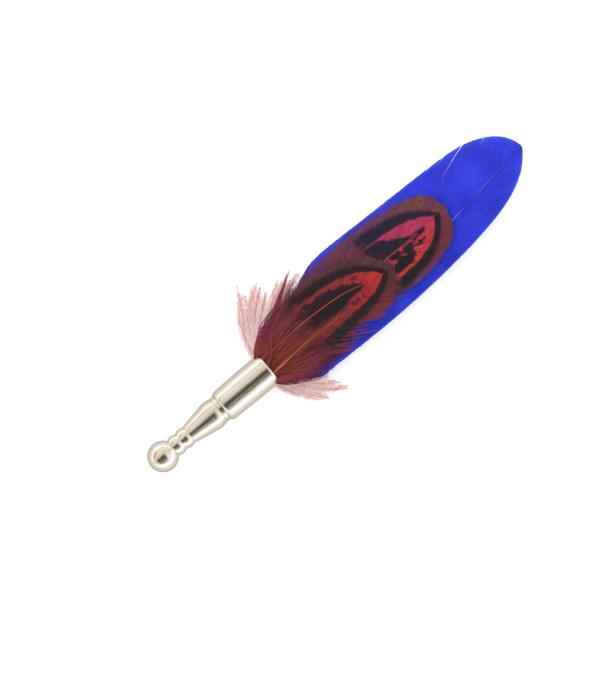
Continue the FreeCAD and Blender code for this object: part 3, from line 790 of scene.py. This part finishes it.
class Nodes(Tree):
    """The node tree of a new material."""

    def __init__(self, name):
        self.material = bpy.data.materials.new(name)
        self.material.use_nodes = True
        super().__init__(self.material.node_tree)
        self.shader = self.tree.nodes["Principled BSDF"]

    def noise(self, scale, detail=3.0, stretch=(1, 1, 1)):
        """Noise over the object's own coordinates, stretched along an axis by a small factor."""
        mapping = self.add("Mapping", Scale=stretch)
        texture = self.add("TexNoise", Scale=scale, Detail=detail)
        self.link(self.add("TexCoord").outputs["Object"], mapping.inputs["Vector"])
        self.link(mapping.outputs["Vector"], texture.inputs["Vector"])
        return texture.outputs["Fac"]

    def ramp(self, value, low, high, span=(0.3, 0.7)):
        """A value turned into a number between low and high."""
        spread = self.add("MapRange", From_Min=span[0], From_Max=span[1], To_Min=low, To_Max=high)
        self.link(value, spread.inputs["Value"])
        return spread.outputs["Result"]

    def bump(self, height, strength, distance):
        node = self.add("Bump", Strength=strength, Distance=distance)
        self.link(height, node.inputs["Height"])
        self.link(node.outputs["Normal"], self.shader.inputs["Normal"])

    def set(self, **values):
        """Shader inputs by name: a socket is linked, anything else is its value."""
        self.feed(values.values(), [self.shader.inputs[key.replace("_", " ")] for key in values])

    def show(self, shader):
        """Make this shader node the surface."""
        self.link(shader.outputs[0], self.tree.nodes["Material Output"].inputs["Surface"])


def rgba(red, green, blue):
    """A display colour, 0 to 255, as a node's colour value."""
    return (*colour(red, green, blue), 1.0)


def grey(level):
    """A grey as a node's colour value."""
    return (level, level, level, 1.0)


def feather_material(name, sheen, glow, contrast=(0.72, 1.22), roughness=0.55, veil=0.0, lift=0.0):
    """Barbs: their own tint, shaded strand by strand, with a soft sheen and light coming through.

    contrast is the shade of the darkest and the lightest barbs, glow the share of light that comes through,
    and veil the share of a barb that is left clear. lift is painted light: the barbs give off light in their
    own tint, to make up for the light that fine down scatters.
    """
    nodes = Nodes(name)
    tint = nodes.add("Attribute", attribute_name="tint").outputs["Color"]
    shade = nodes.add("Attribute", attribute_name="shade").outputs["Fac"]
    light = nodes.ramp(shade, *contrast, (0, 1))
    grain = nodes.ramp(nodes.noise(2600, 2), 0.82, 1.15)
    scale = nodes.add("VectorMath", operation="SCALE")
    nodes.link(tint, scale.inputs[0])
    nodes.link(nodes.math("MULTIPLY", light, grain), scale.inputs["Scale"])
    tone = scale.outputs["Vector"]
    nodes.set(Base_Color=tone, Roughness=roughness, Sheen_Weight=sheen, Specular_IOR_Level=0.25)
    # Painted light: the barbs give off their own tint at strength lift.
    nodes.set(Sheen_Roughness=0.4, Emission_Color=tone, Emission_Strength=lift)
    through = nodes.add("BsdfTranslucent")
    nodes.link(tone, through.inputs["Color"])
    surface = nodes.mix_shaders(glow, nodes.shader, through)
    if veil:
        surface = nodes.mix_shaders(veil, surface, nodes.add("BsdfTransparent"))
    nodes.show(surface)
    return nodes.material


def horn_material(name, dark, pale):
    """A feather's shaft: smooth horn with fine lengthwise streaks between two display colours."""
    nodes = Nodes(name)
    streak = nodes.noise(900, 3, (0.04, 1, 1))
    nodes.set(Base_Color=nodes.mix(streak, rgba(*dark), rgba(*pale)), Roughness=0.32, Coat_Weight=0.2)
    nodes.bump(streak, 0.25, 0.00005)
    return nodes.material


def metal_material(name, tone, tarnish, roughness, scratch=0.15):
    """Polished metal: slightly uneven along the pen, with hairline turning marks and duller patches."""
    nodes = Nodes(name)
    marks = nodes.noise(1500, 4, (1, 0.08, 0.08))
    plating = nodes.noise(1400, 3, (0.16, 1, 1))
    patches = nodes.ramp(nodes.noise(160, 3), 0.0, 1.0)
    nodes.set(Base_Color=nodes.mix(patches, rgba(*tone), rgba(*tarnish)), Metallic=1.0)
    nodes.set(Roughness=nodes.ramp(marks, roughness * 0.6, roughness * 1.6))
    nodes.bump(nodes.math("MULTIPLY_ADD", plating, 2.5, marks), scratch, 0.000014)
    return nodes.material


def moulded_material(name, first, second, roughness, scale=700):
    """Plastic, rubber, glue and ink: a slightly uneven colour and a fine surface texture."""
    nodes = Nodes(name)
    texture = nodes.noise(scale, 4)
    nodes.set(Base_Color=nodes.mix(texture, rgba(*first), rgba(*second)))
    nodes.set(Roughness=nodes.ramp(texture, roughness * 0.8, roughness * 1.2))
    nodes.bump(texture, 0.3, 0.00003)
    return nodes.material


def refill_material():
    """The refill's milky, see-through plastic."""
    nodes = Nodes("refill_plastic")
    texture = nodes.noise(500, 3)
    nodes.set(Base_Color=nodes.mix(texture, rgba(226, 230, 232), grey(0.85)), Roughness=0.3)
    nodes.set(Transmission_Weight=0.6, IOR=1.45)
    nodes.bump(texture, 0.1, 0.00002)
    return nodes.material


def thread_material():
    """Twisted thread: slanting stripes round the wire."""
    nodes = Nodes("thread")
    wave = nodes.add("TexWave", wave_type="BANDS", Scale=2200, Distortion=1.5)
    nodes.link(nodes.add("TexCoord").outputs["Object"], wave.inputs["Vector"])
    stripes = wave.outputs["Fac"]
    nodes.set(Base_Color=nodes.mix(stripes, rgba(96, 22, 26), rgba(146, 48, 44)))
    nodes.set(Roughness=0.8, Sheen_Weight=0.4)
    nodes.bump(stripes, 0.6, 0.00003)
    return nodes.material


def give(material, *node_names):
    """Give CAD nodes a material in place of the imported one."""
    for node_name in node_names:
        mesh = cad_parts[node_name].data
        mesh.materials.clear()
        mesh.materials.append(material)


def dress_metal_and_plastic():
    """Materials for the pieces that keep their CAD shape."""
    plated = metal_material("plated", (244, 238, 227), (236, 230, 215), 0.075, 0.9)
    give(plated, "barrel", "neck_ring", "cap_body", "finial_ball")
    give(metal_material("nose_nickel", (214, 208, 196), (196, 188, 172), 0.16), "nose_section")
    give(metal_material("brass", (214, 178, 104), (184, 142, 74), 0.22), "guide_bush")
    give(metal_material("tip_nickel_silver", (222, 214, 190), (196, 186, 160), 0.18), "tip_body")
    give(metal_material("steel", (206, 208, 212), (190, 192, 198), 0.05, 0.05), "tip_ball")
    give(moulded_material("rubber", (24, 24, 26), (40, 40, 42), 0.7), "grip_ring", "cap_seal")
    give(refill_material(), "ink_tube")
    give(moulded_material("ink", (10, 14, 60), (20, 26, 90), 0.15), "ink_column")
    give(moulded_material("glue", (196, 170, 120), (214, 194, 150), 0.25, 350), "potting_plug")
    give(thread_material(), "binding_thread")


# ---------------- the feathers


def build_shaft(feather, material, slimness, slim_from=6.0, hollow=False):
    """A feather's shaft, beyond slim_from slimmer than in CAD by the factor slimness; gives its line."""
    node = f"{feather}_shaft"
    line = Shaft(node)
    rings = shaft_rings(line, slimness, slim_from)
    if hollow:
        rings = quill_bore_rings(node, line) + rings
    install(shaft_piece(f"{feather}_rachis", rings, material), node)
    return line


def build_vanes(feather, line, painter, material, seed, left, right):
    """Both vanes of a feather; left and right hold each one's slot, growth and further grow_vane settings."""
    for side, word, (slot, growth, settings) in ((1, "left", left), (-1, "right", right)):
        vane = Vane(f"{feather}_vane_{word}", line, side)
        name = f"{feather}_{word}_barbs"
        piece = grow_vane(name, vane, growth, painter, material, seed + side, **settings)
        install(piece, vane.node)


# How far from the rim the barred feathers' barbs start to get finer.
RIM_WIDTH = 1.8


def open_base(limit, fade, rim_amount, gaps):
    """Barbs that stand apart away from the shaft towards the base, and get finer at the rim."""

    def thin(vane, x, y, share):
        apart = gaps * step_up(0.25, 0.75, share) * step_up(limit, limit - fade, x)
        to_rim = (vane.edge(x) - y) * vane.side
        return (1 - apart) * (1 - rim_amount * step_up(RIM_WIDTH, 0, to_rim))

    return thin


def wispy(vane, x, y, share):
    """Thin, separate barbs."""
    return np.full_like(x, 0.3) * (1 - 0.5 * share)


# Loose barbs' colours at root and tip, from the middle of the bundle outwards.
RED_FLUFF = (
    ((158, 60, 44), (146, 60, 46)),
    ((130, 43, 43), (100, 38, 42)),
    ((106, 33, 41), (68, 30, 42)),
    ((150, 50, 52), (130, 48, 60)),
    ((142, 46, 64), (122, 46, 84)),
)
PLUM_FLUFF = (
    ((112, 34, 44), (96, 40, 84)),
    ((124, 40, 48), (108, 52, 92)),
    ((120, 38, 54), (100, 44, 98)),
)
ORANGE_FLUFF = (
    ((176, 74, 44), (168, 74, 44)),
    ((150, 54, 38), (142, 64, 44)),
    ((180, 84, 52), (146, 68, 50)),
)


def build_blue_feather():
    """The large blue feather, with a hollow quill and a few splits in its rim."""
    # lift=0.05: the blue barbs give off a little painted light.
    barbs = feather_material("blue_barbs", 0.15, 0.25, (0.88, 1.12), lift=0.05)
    horn = horn_material("blue_horn", (34, 44, 176), (88, 98, 226))
    line = build_shaft("blue", horn, 0.7, 18, hollow=True)
    growth = Growth(0.34, 5.0, 40, 13, 40, 0.008, 0.12, splay=38, splay_end=44)
    left_slits = ((81.5, 0.24, 0.35), (76.0, 0.12, 0.5), (71.0, 0.12, 0.55), (87.5, 0.1, 0.6))
    right_slits = ((70.0, 0.12, 0.7),)
    left, right = [("blue_vane", growth, {"slits": slits}) for slits in (left_slits, right_slits)]
    build_vanes("blue", line, paint_blue, barbs, 100, left, right)


def build_long_pheasant(barbs, horn):
    """The barred feather behind, pink on its left and red on its right."""
    line = build_shaft("long_pheasant", horn, 0.5)
    fluff = partial(base_fluff, seed=210, count=560, level=1.7, palette=PLUM_FLUFF, reach=(13, 18))
    growth = partial(Growth, 0.32, 8.0, 38, 16, 44, 0.07, 0.5, splay=26, splay_end=50)
    thinned = partial(open_base, 46, 18, 0.6)
    left = ("pink_barred_vane", growth(loose=0.14, loose_x=46), {"extra": fluff, "thinning": thinned(0.4)})
    right = ("red_barred_vane", growth(loose=0.75, loose_x=29), {"extra": fluff, "thinning": thinned(0.6)})
    build_vanes("long_pheasant", line, paint_long, barbs, 200, left, right)


def build_short_pheasant(barbs, horn):
    """The barred red feather in front."""
    line = build_shaft("short_pheasant", horn, 0.42)
    fluff = partial(base_fluff, seed=310, count=850, level=2.9, palette=RED_FLUFF, reach=(8, 13))
    growth = partial(Growth, 0.32, 6.0, 38, 18, 40, 0.08, 0.6, splay=24, splay_end=32)
    thinned = partial(open_base, 32, 10, 0.45)
    left = ("plum_barred_vane", growth(loose=0.14, loose_x=26), {"extra": fluff, "thinning": thinned(0.35)})
    right = ("red_barred_vane", growth(loose=0.65, loose_x=19), {"extra": fluff, "thinning": thinned(0.4)})
    build_vanes("short_pheasant", line, paint_short, barbs, 300, left, right)


def build_orange_hackle(barbs):
    """The small, wispy orange feather on top."""
    horn = horn_material("orange_horn", (150, 62, 38), (180, 86, 52))
    line = build_shaft("orange_hackle", horn, 0.3)
    fluff = partial(base_fluff, seed=410, count=45, level=3.7, palette=ORANGE_FLUFF, reach=(8, 9), width=0.07)
    growth = Growth(0.45, 5.0, 26, 12, 14, 0.6, 3.0)
    vane = ("orange_vane", growth, {"extra": fluff, "thinning": wispy})
    build_vanes("orange_hackle", line, paint_orange, barbs, 400, vane, vane)


def build_plum_hackle(barbs):
    """The small plum feather at the side, with a plum lock and two rusty ones on its left."""
    horn = horn_material("plum_horn", (84, 26, 40), (120, 44, 60))
    line = build_shaft("plum_hackle", horn, 0.5)
    growth = Growth(0.6, 9.0, 26, 12, 14, 0.6, 3.0)
    bunches = (
        (520, 150, (MOUTH_X - 1, 3.2, 1.2), (MOUTH_X + 22, 16.8, 0.6), 1.3, (150, 54, 80)),
        (521, 45, (MOUTH_X + 1, 3.4, 1.4), (MOUTH_X + 23.6, 15.3, 0.5), 0.9, (170, 84, 62)),
        (522, 30, (MOUTH_X + 2, 3.6, 1.4), (MOUTH_X + 25.4, 13.8, 0.5), 0.8, (170, 88, 66)),
    )

    def locks(strands, vane):
        for bunch in bunches:
            lock(strands, *bunch)

    left = ("plum_vane", growth, {"extra": locks, "thinning": wispy})
    right = ("plum_vane", growth, {"thinning": wispy})
    build_vanes("plum_hackle", line, paint_plum, barbs, 500, left, right)


def build_feathers():
    """Every feather of the bundle, from the back to the front."""
    dyed_barbs = feather_material("dyed_barbs", 0.12, 0.12)
    fluffy_barbs = feather_material("fluffy_barbs", 0.2, 0.2)
    red_horn = horn_material("red_horn", (140, 40, 34), (182, 68, 46))
    build_blue_feather()
    build_long_pheasant(dyed_barbs, red_horn)
    build_short_pheasant(dyed_barbs, red_horn)
    build_orange_hackle(fluffy_barbs)
    build_plum_hackle(fluffy_barbs)


# How the down fans out: angles from the pen and lengths, from the mouth's side to the feathers.
UPPER_DOWN = (
    (80, 4.5), (77.5, 7.5), (75, 11), (72, 15), (68, 17), (65, 21.5), (60, 18),
    (54, 23), (49, 21), (43, 19.5), (38, 24.5), (34, 22.5), (30, 27), (25, 27.5),
)
LOWER_DOWN = (
    (76, 4), (72, 7), (67, 10), (62, 14), (59, 17.5), (53, 13.5), (49, 17), (46, 21.5), (40, 16), (33, 15.5),
)


def build_down():
    """The two pale tufts behind the bundle."""
    # The last value, 0.22, is lift: painted light that the down gives off to look brighter.
    down = feather_material("down_fluff", 0.1, 0.4, (0.88, 1.1), 0.8, 0.12, 0.22)
    quill = horn_material("down_horn", (214, 130, 110), (232, 176, 160))
    down_piece("upper_down_fluff", "upper_down_tuft", 1, UPPER_DOWN, 601, down)
    down_piece("lower_down_fluff", "lower_down_tuft", -1, LOWER_DOWN, 602, down)
    for feather in ("upper_down", "lower_down"):
        build_shaft(feather, quill, 0.6)


# ---------------- floor, light and camera

# The plating's own colour.
PLATE = (240, 234, 221)

# The tones that the plating shows across the pen, by the angle from straight up towards the pen's right.
ACROSS_TONES = (
    (-90, (248, 247, 240)),
    (-76, (252, 251, 249)),
    (-66, (243, 239, 228)),
    (-57, (219, 210, 191)),
    (-46, (234, 228, 208)),
    (-28, (214, 201, 178)),
    (0, (218, 206, 186)),
    (46, (236, 234, 228)),
    (58, (253, 253, 252)),
    (76, (255, 255, 255)),
    (90, (238, 231, 220)),
)

# The floor's tone in the plating, by the sine of the angle at which the reflected ray meets it.
# Towards 1.0, where the reflected ray looks straight down, the tone darkens: a painted shadow under the pen.
FLOOR_TONES = (
    (0.0, (238, 232, 218)),
    (0.35, (212, 202, 186)),
    (0.75, (200, 188, 174)),
    (1.0, (150, 138, 128)),
)


def mirrored(red, green, blue):
    """The light that makes the plating show a display colour."""
    return (*(colour(red, green, blue) / colour(*PLATE)), 1.0)


# The dark card's darkest and lightest tones at its middle and on its low side, and the blush's tone.
CARD_TONES = (mirrored(34, 27, 22), mirrored(112, 102, 86))
LOW_SIDE_TONES = (mirrored(70, 70, 54), mirrored(186, 186, 166))
BLUSH_TONE = mirrored(226, 150, 142)


def tone_ramp(nodes, place, stops):
    """The tone at a place from 0 to 1, through pairs of a place and a display colour in the plating."""
    ramp = nodes.add("ValToRGB")
    elements = ramp.color_ramp.elements
    while len(elements) < len(stops):
        elements.new(0.5)
    for element, (position, tone) in zip(elements, stops):
        element.position = position
        element.color = mirrored(*tone)
    nodes.link(place, ramp.inputs[0])
    return ramp.outputs["Color"]


def build_floor():
    """A plain, nearly white floor under the object; polished metal shows a painted reflection of it, duller,
    warmer and darkening into a painted shadow.
    """
    half, level = 2500.0, cad_low.z / MM - 0.1
    corners = [(-half, -half, level), (half, -half, level), (half, half, level), (-half, half, level)]
    nodes = Nodes("floor")
    nodes.set(Base_Color=grey(0.92), Roughness=0.9, Specular_IOR_Level=0.0)
    nodes.set(Emission_Color=grey(1.0), Emission_Strength=0.35)
    # Painted reflection: rays off polished metal see the floor in the tones of FLOOR_TONES, with their painted
    # shadow.
    incoming = nodes.add("SeparateXYZ")
    nodes.link(nodes.add("NewGeometry").outputs["Incoming"], incoming.inputs[0])
    shown = nodes.add("Emission", Strength=1.0)
    nodes.link(tone_ramp(nodes, incoming.outputs["Z"], FLOOR_TONES), shown.inputs["Color"])
    nodes.show(nodes.mix_shaders(nodes.is_glossy_ray(), nodes.shader, shown))
    mesh_object("floor", corners, [(0, 1, 2, 3)], nodes.material)


def build_world():
    """White surroundings; polished metal shows softer tones, a dark card on the pen's right and a blush."""
    world = bpy.data.worlds.new("studio")
    bpy.context.scene.world = world
    world.use_nodes = True
    nodes = Tree(world.node_tree)
    place = nodes.add("TexCoord").outputs["Generated"]
    parts = nodes.add("SeparateXYZ")
    nodes.link(place, parts.inputs[0])
    to_tip = nodes.math("ARCTAN2", parts.outputs["X"], parts.outputs["Z"])
    to_right = nodes.math("ARCTAN2", nodes.math("MULTIPLY", parts.outputs["Y"], -1.0), parts.outputs["Z"])
    stops = [((degrees + 90) / 180, tone) for degrees, tone in ACROSS_TONES]
    shown = tone_ramp(nodes, nodes.math("MULTIPLY_ADD", to_right, 1 / math.pi, 0.5), stops)
    texture = nodes.add("TexNoise", Scale=9.0, Detail=6.0)
    nodes.link(place, texture.inputs["Vector"])
    grit = nodes.math("MULTIPLY_ADD", texture.outputs["Fac"], 4.0, -1.5, clamp=True)
    low_side = nodes.window(to_right, 24, 180, 16, 1)
    card_tone = nodes.mix(low_side, nodes.mix(grit, *CARD_TONES), nodes.mix(grit, *LOW_SIDE_TONES))
    patches = (
        (card_tone, (-62, 18, 16, 16), (-10, 46, 16, 22)),
        (BLUSH_TONE, (-78, -30, 10, 10), (-68, -44, 12, 12)),
    )
    for tone, lengthwise, crosswise in patches:
        patch = nodes.math("MULTIPLY", nodes.window(to_tip, *lengthwise), nodes.window(to_right, *crosswise))
        shown = nodes.mix(patch, shown, tone)
    background = nodes.tree.nodes["Background"]
    background.inputs["Strength"].default_value = 1.0
    nodes.link(nodes.mix(nodes.is_glossy_ray(), grey(1.0), shown), background.inputs["Color"])


def build_lamp():
    """A soft lamp from the feathers' left that polished metal doesn't show."""
    place, target = Vector((-0.25, 0.35, 0.6)), Vector((0.02, 0, 0))
    data = bpy.data.lights.new("key", "AREA")
    data.size, data.energy = 0.5, 3.0
    lamp = placed("key", data)
    lamp.location = place
    lamp.rotation_euler = (target - place).to_track_quat("-Z", "Y").to_euler()
    lamp.visible_glossy = False


def build_camera():
    """Camera almost straight above, rolled so that the pen rises to the right."""
    distance, lens = 0.9, 184.0
    tilt, roll = math.radians(5.5), math.radians(40)
    target = Vector((15.4 * MM, 1.1 * MM, 0))
    back = Vector((-math.sin(tilt), 0, math.cos(tilt)))
    up = Vector((math.sin(roll), math.cos(roll), 0))
    up = (up - back * up.dot(back)).normalized()
    turn = Matrix((up.cross(back), up, back)).transposed()
    data = bpy.data.cameras.new("camera")
    data.lens = lens
    camera = placed("camera", data)
    camera.matrix_world = Matrix.Translation(target + back * distance) @ turn.to_4x4()
    bpy.context.scene.camera = camera


dress_metal_and_plastic()
build_feathers()
build_down()
build_floor()
build_world()
build_lamp()
build_camera()
bpy.context.scene.view_settings.view_transform = "Standard"
